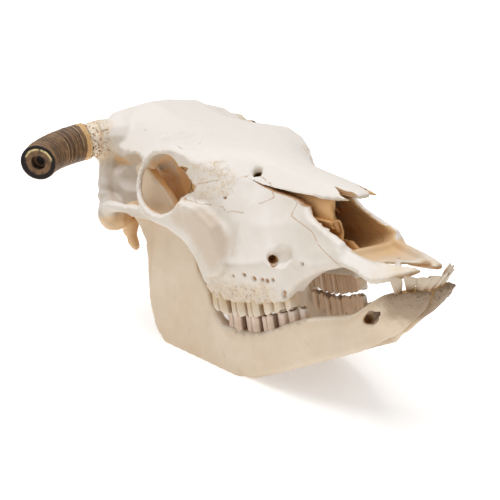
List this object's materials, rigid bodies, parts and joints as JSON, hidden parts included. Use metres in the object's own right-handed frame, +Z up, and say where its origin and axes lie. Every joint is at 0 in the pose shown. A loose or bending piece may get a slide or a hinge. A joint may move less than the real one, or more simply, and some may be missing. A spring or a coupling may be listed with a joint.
{
  "type": "cow skull with horns",
  "caption": "Life-size dry cow skull with its lower jaw, cheek teeth, incisors and short cut horn stubs, lying along the lower borders of the jaw with the snout raised.",
  "frame": {"origin": "centre of the bounding box at its lowest level, on the surface that the lower jaw rests on", "axes": "+X to the animal's left, +Y from the snout to the back of the head, +Z up; the skull is pitched 16.6 degrees snout up, as it rests on its lower jaw"},
  "size_m": [0.3836, 0.5366, 0.2463],
  "materials": {
    "cranium_bone": "dry bleached bone, ivory white on top and warm beige in the shade, matt",
    "jaw_bone": "dry bone, slightly pinkish beige, smooth and faintly shiny",
    "thin_bone": "thin stained bone inside the nose, orange brown and matt",
    "horn_core": "porous pitted bone, tan and matt",
    "horn_sheath": "weathered dark brown horn with fine growth rings, rough"
  },
  "bodies": {
    "root": {"frontal": "cranium_bone", "braincase": "cranium_bone", "nasal_right": "cranium_bone", "nasal_left": "cranium_bone", "lacrimal_right": "cranium_bone", "lacrimal_left": "cranium_bone", "zygomatic_right": "cranium_bone", "zygomatic_left": "cranium_bone", "maxilla_right": "cranium_bone", "maxilla_left": "cranium_bone", "premaxilla_right": "cranium_bone", "premaxilla_left": "cranium_bone", "mandible_right": "jaw_bone", "mandible_left": "jaw_bone", "vomer": "thin_bone", "turbinate_right": "thin_bone", "turbinate_left": "thin_bone", "horn_core_right": "horn_core", "horn_core_left": "horn_core", "horn_sheath_right": "horn_sheath", "horn_sheath_left": "horn_sheath"}
  },
  "joints": []
}
